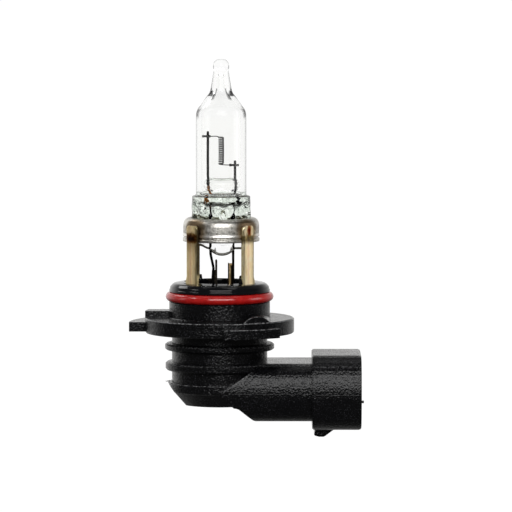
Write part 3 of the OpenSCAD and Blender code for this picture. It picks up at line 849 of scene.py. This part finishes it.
build("filament_coil", tube(coil(), coil_wire, 10), M_TUNGSTEN, ("filament",), angle=60)


def wire(path, r, seed, tip):
    pts = smooth_path(path, 8)
    n = len(pts)

    def rad(i, p):
        k = r * (1 + .05 * noise.noise(Vector((seed, i * .35, p.z * .9))))
        if i < 2:
            k *= tip
        return k
    return tube(pts, rad, 16)


long_path = [(-2.2, 0, 35.1), (-2.2, 0, 33), (-2.21, 0, 30), (-2.2, 0, 27.6), (-2.2, 0, 26.9), (-2.16, 0, 26.4), (-2.02, 0, 25.1),
             (-1.84, 0, 23.6), (-1.76, 0, 23.1), (-1.72, 0, 22.7), (-1.72, 0, 20), (-1.72, 0, 16), (-1.72, 0, 13.2), (-1.7, 0, 12.2),
             (-1.62, 0, 11.6), (-1.3, 0, 10.1), (-1.2, 0, 9.55), (-1.16, 0, 9.25), (-1.2, 0, 8.9), (-1.27, 0, 7.9), (-1.3, 0, 7.2), (-1.3, 0, 5.0), (-1.3, 0, 4.2)]
short_path = [(2.93, 0, 29.6), (2.93, 0, 27.5), (2.93, 0, 25.0), (2.93, 0, 23.5), (2.9, 0, 22.95), (2.72, 0, 22.6), (2.58, 0, 22.25),
              (2.56, 0, 21.6), (2.56, 0, 17), (2.56, 0, 12.6), (2.56, 0, 10), (2.55, 0, 8.0), (2.56, 0, 6.0), (2.56, 0, 4.2)]
build("long_lead", wire(long_path, .245, 3.1, .9), M_LEAD_L, ("long_lead_wire",), angle=60)
build("short_lead", wire(short_path, .245, 8.7, .9), M_LEAD_R, ("short_lead_wire",), angle=60)


def clamp(x0, x1, z, seed):
    """Crimped sleeve along X: outer wall with crimps and burred ends, open bore."""
    m, n = 26, 24
    outer, inner = [], []
    for j in range(m + 1):
        t = j / m
        x = lerp(x0, x1, t)
        r = .25 - .05 * math.exp(-((t - .36) / .1) ** 2) - .05 * math.exp(-((t - .72) / .1) ** 2)
        r -= .05 * (sstep(.08, 0, t) + sstep(.92, 1, t))
        ring = []
        for i in range(n):
            a = 2 * pi * i / n
            rr = r * (1 + .05 * noise.noise(Vector((seed, cos(a) * 2, t * 6 + sin(a) * 2))))
            ring.append((x, -.47 + rr * cos(a), z + rr * sin(a) * (1.0 if abs(t - .5) > .3 else .94)))
        outer.append(ring)
        inner.append([(x, -.47 + .12 * cos(2 * pi * i / n), z + .12 * sin(2 * pi * i / n)) for i in range(n)])
    rings = outer + inner[::-1] + [outer[0]]
    return loft(rings, n)


build("upper_clamp_sleeve", clamp(-3.3, -1.65, 34.22, 1.5), M_CLAMP, ("upper_filament_clamp",), merge=.0005, angle=50)
build("lower_clamp_sleeve", clamp(1.8, 3.6, 28.8, 5.5), M_CLAMP, ("lower_filament_clamp",), merge=.0005, angle=50)

# ---------------------------------------------------------------- collar and legs

def collar():
    w = 7.15
    prof = [(w + .05, 14.5), (w + .11, 14.62), (w + .10, 15.0), (w + .02, 15.12), (w - .15, 15.22), (w - .15, 15.36),
            (w + .08, 15.47), (w + .10, 15.58), (w + .01, 15.98), (w, 16.2), (w + .01, 16.5), (w, 17.5), (w - .05, 17.85), (w - .16, 18.2), (w - .36, 18.52), (w - .62, 18.74),
            (w - .9, 18.86), (5.9, 18.9), (5.78, 18.8), (5.78, 18.6), (5.9, 18.46), (6.25, 18.40), (6.5, 18.2), (6.65, 17.9),
            (6.7, 17.5), (6.7, 15.5), (6.6, 15.4), (6.6, 15.25), (6.7, 15.05), (6.75, 14.56), (6.85, 14.48)]
    prof = fillet_closed(prof, .07)

    def wob(r, z, a):
        v = .035 * noise.noise(Vector((cos(a) * 1.6, sin(a) * 1.6, z * .25 + 4)))
        v += .012 * noise.noise(Vector((cos(a) * 9, sin(a) * 9, z * 1.2)))
        return v
    return lathe(prof, 192, BX, wob=wob)


build("collar_ring", collar(), M_COLLAR, ("retaining_collar",), angle=50)


def leg(az, seed, kind):
    """Strip bent to the collar's curve, with a rolled edge, rounded head, flared foot and spot-weld nuggets."""
    ca, sa = cos(math.radians(az)), sin(math.radians(az))
    nu, nv = 21, 90
    z0, z1, ht = .5, 17.7, .85
    R0, t = 7.23, .5
    outer, inner = [], []
    for j in range(nv + 1):
        v = j / nv
        z = lerp(z0, z1, v)
        if z > 14.0:
            z = 14.0 + (z1 - 14.0) * sin((z - 14.0) / (z1 - 14.0) * pi / 2)
        hw = 1.5
        flare = .35 * sstep(8.3, 6.9, z) if sa < 0 else 0
        if z > z1 - ht:
            hw = 1.5 - ht + math.sqrt(max(0.0, ht * ht - (z - (z1 - ht)) ** 2))
        ro, ri = [], []
        for i in range(nu):
            s = -1 + 2 * i / (nu - 1)
            s = sin(s * pi / 2)
            # the foot of a front leg widens on its outer side
            u = (hw + (flare if (s < 0) == (ca < 0) else 0)) * s
            curve = R0 - math.sqrt(max(.1, R0 * R0 - u * u))
            roll = .14 * max(0.0, abs(s) - .86) / .14
            bow = .05 * sin((z - 4) * .35 + seed)
            rad_o = R0 + t - curve - roll - .02 + (bow * sstep(7.2, 9, z) * sstep(15, 13, z) * .0)
            rad_i = R0 - curve * .9
            # weld nuggets and the dents the electrodes left
            for (wu, wz, wr, wa) in ((-.35, 16.3, .34, .10), (.42, 15.6, .30, .10), (.0, 15.95, .95, -.05)):
                q = ((u - wu) / wr) ** 2 + ((z - wz) / wr) ** 2
                if q < 6:
                    rad_o += wa * math.exp(-q * 1.6)
            rad_o += .012 * noise.noise(Vector((u * 1.5 + seed, z * .7, 2.0)))
            ro.append((.15 + rad_o * ca - u * sa, rad_o * sa + u * ca, z))
            ri.append((.15 + rad_i * ca - u * sa, rad_i * sa + u * ca, z))
        outer.append(ro)
        inner.append(ri)
    # closed cross-sections, lofted from foot to head
    rings = [o + i[::-1] for o, i in zip(outer, inner)]
    n = 2 * nu
    verts, faces = loft(rings, n)
    for base, flip in ((0, True), ((len(rings) - 1) * n, False)):
        for k in range(nu - 1):
            q = [base + k, base + k + 1, base + n - 2 - k, base + n - 1 - k]
            faces.append(q[::-1] if flip else q)
    return verts, faces


for k, (az, kind) in LEGS.items():
    build(k.replace("support_", "") + "_strip", leg(az, az * .01, kind), M_LEG[k], (k,), angle=35, merge=.002)

# ---------------------------------------------------------------- cap insert, seal, O-ring

def boolean(ob_geo, cutters, op="DIFFERENCE"):
    """Cuts geometry (verts, faces in mm) with others and returns a mesh."""
    def tmp(name, geo):
        me = bpy.data.meshes.new(name)
        me.from_pydata([(x * MM, y * MM, z * MM) for x, y, z in geo[0]], [], geo[1])
        bm = bmesh.new(); bm.from_mesh(me)
        bmesh.ops.recalc_face_normals(bm, faces=bm.faces)
        bm.to_mesh(me); bm.free()
        o = bpy.data.objects.new(name, me)
        bpy.context.scene.collection.objects.link(o)
        return o
    base = tmp("tmp_base", ob_geo)
    cuts = [tmp("tmp_cut%d" % i, c) for i, c in enumerate(cutters)]
    for c in cuts:
        md = base.modifiers.new("b", "BOOLEAN")
        md.operation = op
        md.solver = "EXACT"
        md.object = c
    dg = bpy.context.evaluated_depsgraph_get()
    me = bpy.data.meshes.new_from_object(base.evaluated_get(dg))
    for o in [base] + cuts:
        bpy.data.objects.remove(o, do_unlink=True)
    return me


def box_geo(cx, cy, z0, z1, lx, ly, az=0.0):
    c, s = cos(math.radians(az)), sin(math.radians(az))
    v = []
    for z in (z0, z1):
        for dx, dy in ((-1, -1), (1, -1), (1, 1), (-1, 1)):
            x, y = dx * lx / 2, dy * ly / 2
            v.append((cx + x * c - y * s, cy + x * s + y * c, z))
    return v, [[0, 3, 2, 1], [4, 5, 6, 7], [0, 1, 5, 4], [1, 2, 6, 5], [2, 3, 7, 6], [3, 0, 4, 7]]


def insert():
    prof = [(6.5, 3.6), (6.5, 6.62), (6.62, 6.85), (6.9, 6.86), (8.5, 6.58), (8.82, 6.42), (9.26, 5.98), (9.36, 5.8), (9.36, 5.52),
            (9.42, 5.42), (9.5, 5.34), (9.5, 5.0), (9.4, 4.9), (8.4, 4.9), (8.4, 3.1), (8.2, 3.1), (8.2, -1.0),
            (6.4, -1.0), (6.4, 2.2), (0, 2.2), (0, 3.6)]
    prof = fillet_closed(prof[:-2], .09)
    # the closed wall, then the floor of the well as its own disc
    ring = lathe(prof, 192)
    floor = lathe([(0, 2.2), (6.45, 2.2), (6.55, 2.3), (6.55, 3.5), (6.45, 3.6), (0, 3.6)], 96, closed=False)
    cut = []
    for a in (45, 135, 225, 315):
        ca, sa = cos(math.radians(a)), sin(math.radians(a))
        cut.append(box_geo(.15 + 7.37 * ca, 7.37 * sa, .3, 9, .92, 3.86, a))
    return boolean(ring, cut), floor


ring_me, floor_geo = insert()
finish_obj("cap_insert_moulding", ring_me, M_GLOSS, ("cap_insert",), angle=42)
build("cap_insert_floor", floor_geo, M_GLOSS, angle=42)


def gusset(az, side, h):
    """Small web of the insert beside a leg's foot."""
    ca, sa = cos(math.radians(az)), sin(math.radians(az))
    v = []
    for u in (side * 1.94, side * 2.12):
        for r, z in ((7.0, 6.8), (7.95, 6.8), (7.7, 6.95 + h * .7), (7.45, 6.85 + h), (7.2, 6.85 + h)):
            v.append((.15 + r * ca - u * sa, r * sa + u * ca, z))
    f = [[0, 1, 2, 3, 4], [9, 8, 7, 6, 5]] + [[i, (i + 1) % 5, 5 + (i + 1) % 5, 5 + i] for i in range(5)]
    return v, f


build("cap_insert_webs", join(*[gusset(a, s, h) for a, s, h in ((315, -1, 1.1), (45, 1, .5), (135, -1, .8))]), M_GLOSS,
      angle=30)


def oring():
    n, m = 224, 36
    R, r, z0 = 8.4 + .015 + .875, .875, 4.0
    verts, faces = [], []
    for i in range(n):
        a = 2 * pi * i / n
        for k in range(m):
            b = 2 * pi * k / m
            rr = r + .012 * noise.noise(Vector((cos(a) * 3, sin(a) * 3, b * .8)))
            # fine mould flash line round the outside
            rr += .018 * math.exp(-((min(b, 2 * pi - b)) / .07) ** 2) - .014
            verts.append(((R + rr * cos(b)) * cos(a), (R + rr * cos(b)) * sin(a), z0 + rr * sin(b)))
    for i in range(n):
        for k in range(m):
            i2, k2 = (i + 1) % n, (k + 1) % m
            faces.append([i * m + k, i2 * m + k, i2 * m + k2, i * m + k2])
    return verts, faces


build("sealing_ring", oring(), M_RED, ("o_ring",), angle=80)

# ---------------------------------------------------------------- CAD nodes that stay, with their finish

def keep(name, material, bevel=None, segments=2, angle=30):
    ob = NODES[name]
    ob.data.materials.clear()
    ob.data.materials.append(material)
    if bevel:
        md = ob.modifiers.new("edge", "BEVEL")
        md.width = bevel * MM
        md.segments = segments
        md.limit_method = "ANGLE"
        md.angle_limit = math.radians(angle)
        md.harden_normals = True
    return ob


keep("base_housing", M_BODY, .12, 2, 35)
keep("potting_seal", M_POTTING)
keep("pinch_clip", M_CLIP, .06)
keep("terminal_left", M_TERM_D, .05)
keep("terminal_right", M_TERM_B, .05)


# ---------------------------------------------------------------- moulding lines

def seam(points, r, seed):
    """Thin raised line where two mould halves met, uneven along its length."""
    pts = smooth_path(points, 14)

    def rad(i, p):
        return r * (.75 + .55 * max(-.6, noise.noise(Vector((p.x * 1.3 + seed, p.y * 1.3, p.z * 1.3)))))
    return tube(pts, rad, 8)


lines = []
for sy in (-1, 1):
    lines.append(seam([(3.0, sy * 9.59, -13.6), (7, sy * 9.595, -13.6), (12, sy * 9.6, -13.6), (17.3, sy * 9.6, -13.6)], .055, 1 + sy))
    lines.append(seam([(17.75, sy * 11.19, -13.6), (21, sy * 11.2, -13.6), (24, sy * 11.2, -13.6), (26.2, sy * 11.19, -13.6)], .06, 5 + sy))
build("moulding_parting_line", join(*lines), M_SEAM, angle=60)


def flash(az0, az1, r0, r1, z, seed):
    """Ragged paper-thin fin of flash standing out from a mould edge."""
    n = 22
    top, bot = [], []
    for k in range(n + 1):
        t = k / n
        a = math.radians(lerp(az0, az1, t))
        rr = r0 + (r1 - r0) * (sin(pi * t) ** .7) * (.65 + .5 * noise.noise(Vector((seed, t * 5.0, 0))))
        for L, dz in ((top, .03), (bot, -.03)):
            L.append([(r0 * cos(a), r0 * sin(a), z + dz), (rr * cos(a), rr * sin(a), z + dz * .4 - .04 * sin(pi * t))])
    verts = [p for row in top for p in row] + [p for row in bot for p in row]
    m = 2 * (n + 1)
    faces = []
    for k in range(n):
        a, b, c, d = 2 * k, 2 * k + 1, 2 * k + 3, 2 * k + 2
        faces += [[a, b, c, d], [m + d, m + c, m + b, m + a], [b, m + b, m + c, c], [a, d, m + d, m + a]]
    faces += [[0, m, m + 1, 1], [2 * n, 2 * n + 1, m + 2 * n + 1, m + 2 * n]]
    return verts, faces


build("moulding_flash", join(flash(170, 188, 9.55, 10.5, -12.05, 1.0), flash(196, 203, 9.55, 9.95, -12.05, 4.0),
                             flash(262, 272, 9.55, 9.85, -12.06, 7.0), flash(318, 326, 9.55, 9.8, -12.05, 9.0)),
      M_BODY, angle=60)

# ---------------------------------------------------------------- stage, lights, camera

def stage():
    me = bpy.data.meshes.new("floor")
    s = 40.0
    # low enough that a view from underneath still shows the object
    z = -1.0
    me.from_pydata([(-s, -s, z), (s, -s, z), (s, s, z), (-s, s, z)], [], [[0, 1, 2, 3]])
    ob = bpy.data.objects.new("floor", me)
    bpy.context.scene.collection.objects.link(ob)
    g = Mat("pale_floor", base=(.82, .82, .82), rough=.9, spec=.0)
    n = g.noise(3, 2)
    g.color(g.ramp(n, [(.0, (.20, .20, .20)), (1, (.21, .21, .21))]))
    g.b.inputs["Emission Color"].default_value = (1, 1, 1, 1)
    g.b.inputs["Emission Strength"].default_value = 1.0
    me.materials.append(g.m)
    ob.visible_glossy = False
    ob.visible_diffuse = False
    return ob


stage()


def world():
    w = bpy.data.worlds.new("studio")
    bpy.context.scene.world = w
    w.use_nodes = True
    nt = w.node_tree
    nt.nodes.clear()
    out = nt.nodes.new("ShaderNodeOutputWorld")
    mixs = nt.nodes.new("ShaderNodeMixShader")
    plain = nt.nodes.new("ShaderNodeBackground")
    plain.inputs[0].default_value = (1, 1, 1, 1)
    plain.inputs[1].default_value = 1.02
    soft = nt.nodes.new("ShaderNodeBackground")
    tc = nt.nodes.new("ShaderNodeTexCoord")
    sep = nt.nodes.new("ShaderNodeSeparateXYZ")
    nt.links.new(tc.outputs["Generated"], sep.inputs[0])

    def rng(src, a, b, c, d):
        n = nt.nodes.new("ShaderNodeMapRange")
        n.interpolation_type = "SMOOTHSTEP"
        nt.links.new(src, n.inputs["Value"])
        for k, v in (("From Min", a), ("From Max", b), ("To Min", c), ("To Max", d)):
            n.inputs[k].default_value = v
        return n.outputs[0]

    def mul(a, b, op="MULTIPLY"):
        n = nt.nodes.new("ShaderNodeMath")
        n.operation = op
        for s, v in ((n.inputs[0], a), (n.inputs[1], b)):
            if isinstance(v, (int, float)):
                s.default_value = v
            else:
                nt.links.new(v, s)
        return n.outputs[0]
    back = rng(sep.outputs[1], .05, .92, 0, 1)
    high = rng(sep.outputs[2], .22, .6, 1, .16)
    low = rng(sep.outputs[2], -.35, -.02, .25, 1)
    v = mul(mul(mul(back, high), low), .95)
    side = rng(sep.outputs[0], -.9, .9, 1.2, .6)
    v = mul(mul(v, side), .085, "ADD")
    nt.links.new(v, soft.inputs[1])
    soft.inputs[0].default_value = (1, .995, .985, 1)
    lp = nt.nodes.new("ShaderNodeLightPath")
    see = mul(lp.outputs["Is Camera Ray"], lp.outputs["Is Transmission Ray"], "MAXIMUM")
    nt.links.new(see, mixs.inputs[0])
    nt.links.new(soft.outputs[0], mixs.inputs[1])
    nt.links.new(plain.outputs[0], mixs.inputs[2])
    nt.links.new(mixs.outputs[0], out.inputs[0])


world()
AIM = Vector((6.86 * MM, 0, 11.6 * MM))


def area(name, az, el, dist, w, h, radiance, color=(1, 1, 1)):
    """Softbox at azimuth (0 = camera side, + = right) and elevation; radiance is its brightness as seen."""
    d = bpy.data.lights.new(name, "AREA")
    d.shape = "RECTANGLE"
    d.size, d.size_y = w, h
    d.energy = radiance * w * h * 4
    d.color = color
    o = bpy.data.objects.new(name, d)
    a, e = math.radians(az), math.radians(el)
    v = Vector((sin(a) * cos(e), -cos(a) * cos(e), sin(e)))
    o.location = Vector((0, 0, .01)) + v * dist
    o.rotation_mode = "QUATERNION"
    o.rotation_quaternion = v.to_track_quat("Z", "Y")
    o.visible_camera = False
    bpy.context.scene.collection.objects.link(o)
    return o


area("front_softbox", 4, 23, 1.3, 1.15, .66, 3.0)
area("right_strip", 87, 10, 1.3, .68, .8, 1.35)
area("left_strip", -88, 10, 1.3, .42, .9, .72)
area("upper_left_softbox", -72, 42, 1.3, .36, .30, 3.4)
area("rear_left_softbox", -134, 40, 1.3, .44, .34, 2.3)
area("top_softbox", 170, 82, 1.2, .9, .42, .6)


def spare_the_plastic(*names):
    """The side strips light the metal and the glass; the black plastic stays out of them."""
    coll = bpy.data.collections.new("lit_by_strips")
    for o in bpy.context.scene.objects:
        if o.type == "MESH" and not any(k in o.name for k in ("base_housing", "moulding", "cap_insert", "floor")):
            coll.objects.link(o)
    for n in names:
        bpy.data.objects[n].light_linking.receiver_collection = coll


spare_the_plastic("right_strip", "left_strip")


def camera():
    c = bpy.data.cameras.new("camera")
    o = bpy.data.objects.new("camera", c)
    bpy.context.scene.collection.objects.link(o)
    c.sensor_width = 36
    c.lens = 336
    el = math.radians(4.5)
    v = Vector((0, -cos(el), sin(el)))
    o.location = AIM + v * .9
    o.rotation_mode = "QUATERNION"
    o.rotation_quaternion = (-v).to_track_quat("-Z", "Y")
    c.clip_start, c.clip_end = .01, 60
    bpy.context.scene.camera = o


camera()
sc = bpy.context.scene
sc.view_settings.view_transform = "Standard"
sc.view_settings.look = "None"
sc.view_settings.exposure = 0
sc.view_settings.gamma = 1
